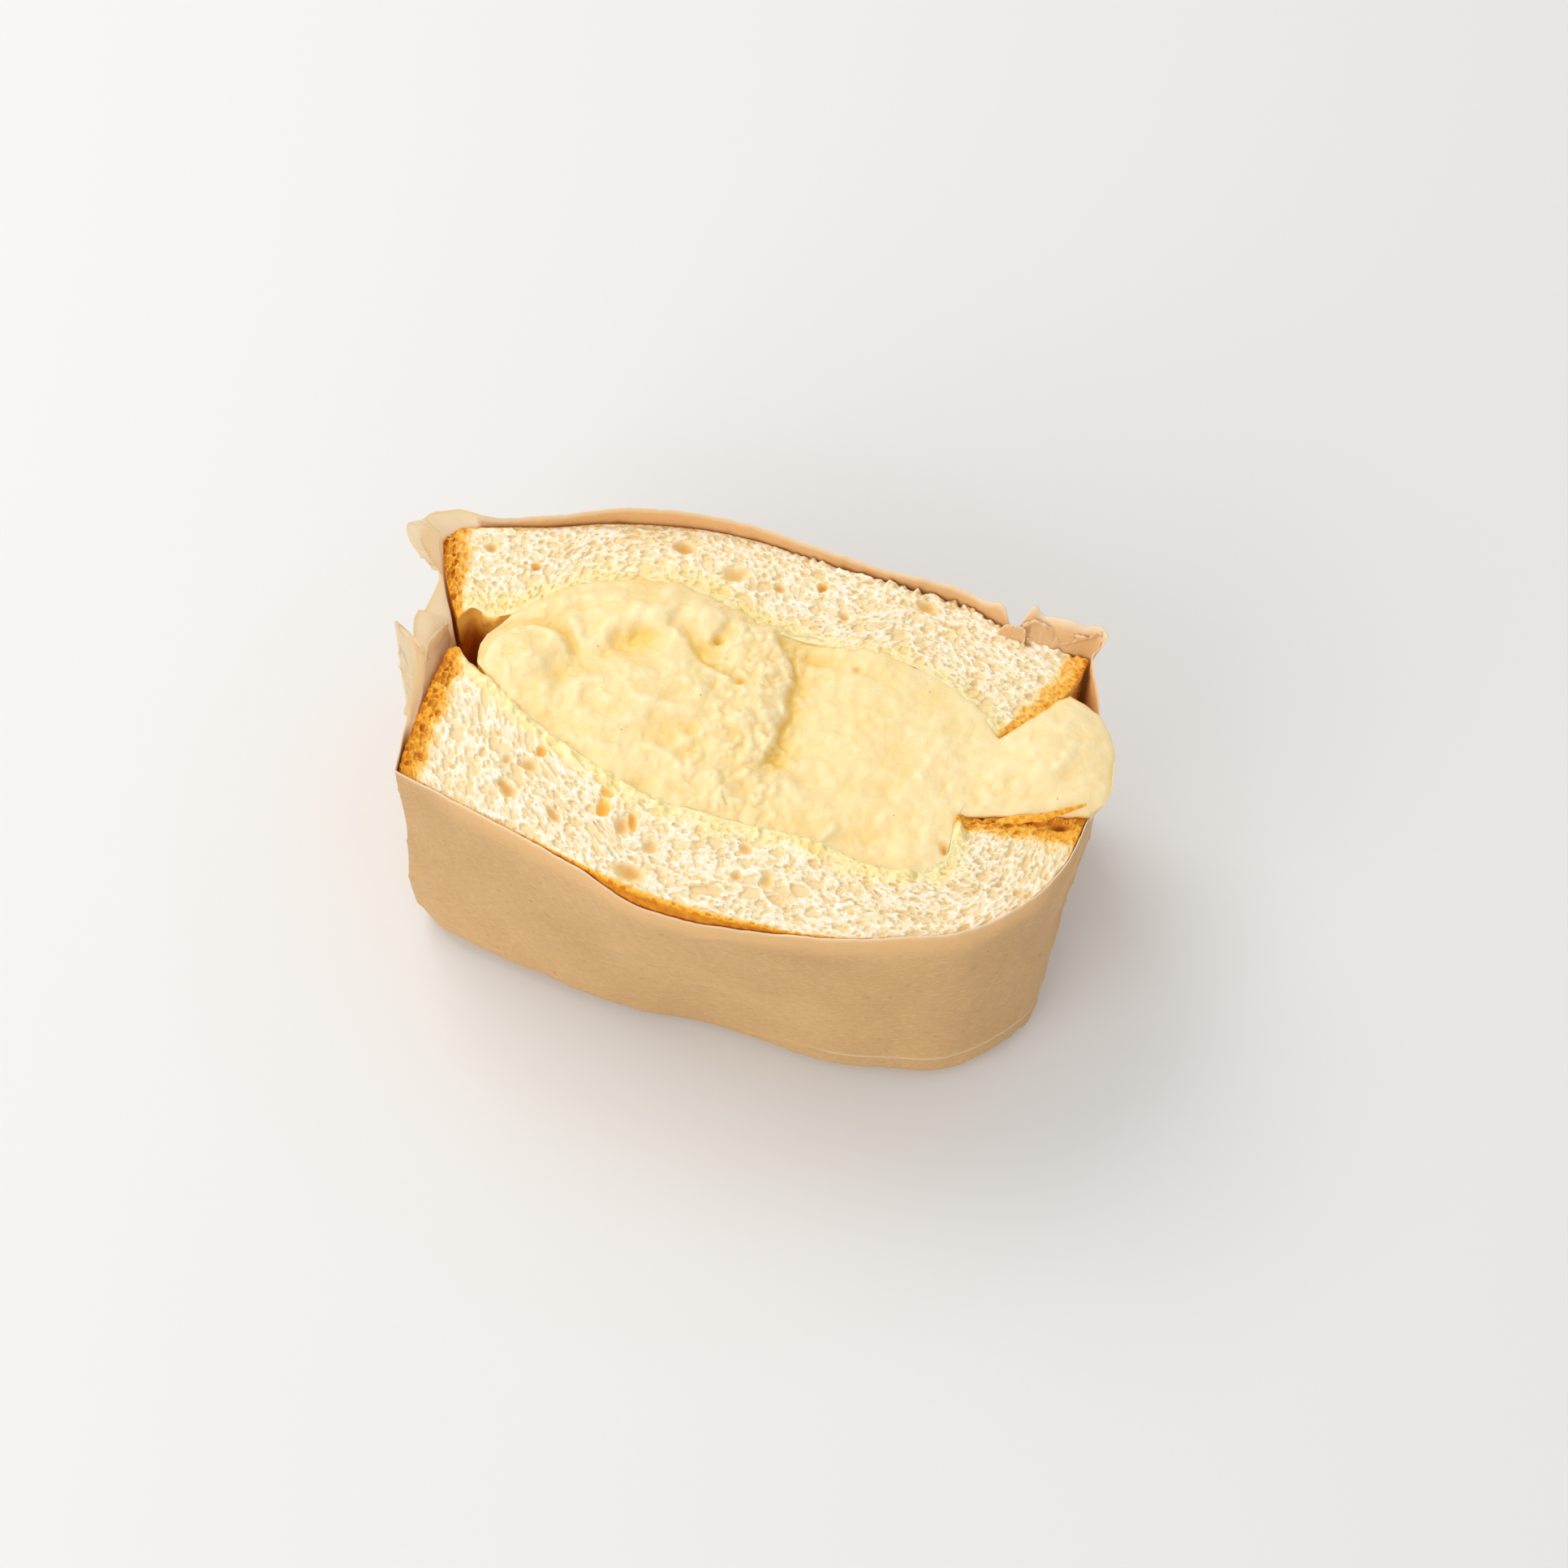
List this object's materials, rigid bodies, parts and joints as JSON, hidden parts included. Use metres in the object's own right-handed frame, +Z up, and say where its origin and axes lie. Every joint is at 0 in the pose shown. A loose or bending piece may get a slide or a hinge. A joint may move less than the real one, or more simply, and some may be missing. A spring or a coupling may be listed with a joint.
{
  "type": "egg sandwich half",
  "caption": "Half of a thick egg salad sandwich standing cut face up, its bread slices and egg filling held in a brown waxed paper wrap with a torn rim.",
  "frame": {"origin": "centre of the underside of the bounding box, on the surface the sandwich stands on", "axes": "+Z up out of the cut face, +X along the slices to the swollen end of the filling, -Y to the side where the paper's rim is lowest"},
  "size_m": [0.1395, 0.0863, 0.0618],
  "materials": {
    "bread": "open white crumb with golden crust at the edges, matt",
    "egg": "smooth creamy egg salad, soft sheen",
    "paper": "thin waxed brown paper, slightly see-through, low sheen"
  },
  "bodies": {
    "root": {"bread_slice_front": "bread", "bread_slice_back": "bread", "egg_filling": "egg", "paper_wrap": "paper"}
  },
  "joints": []
}
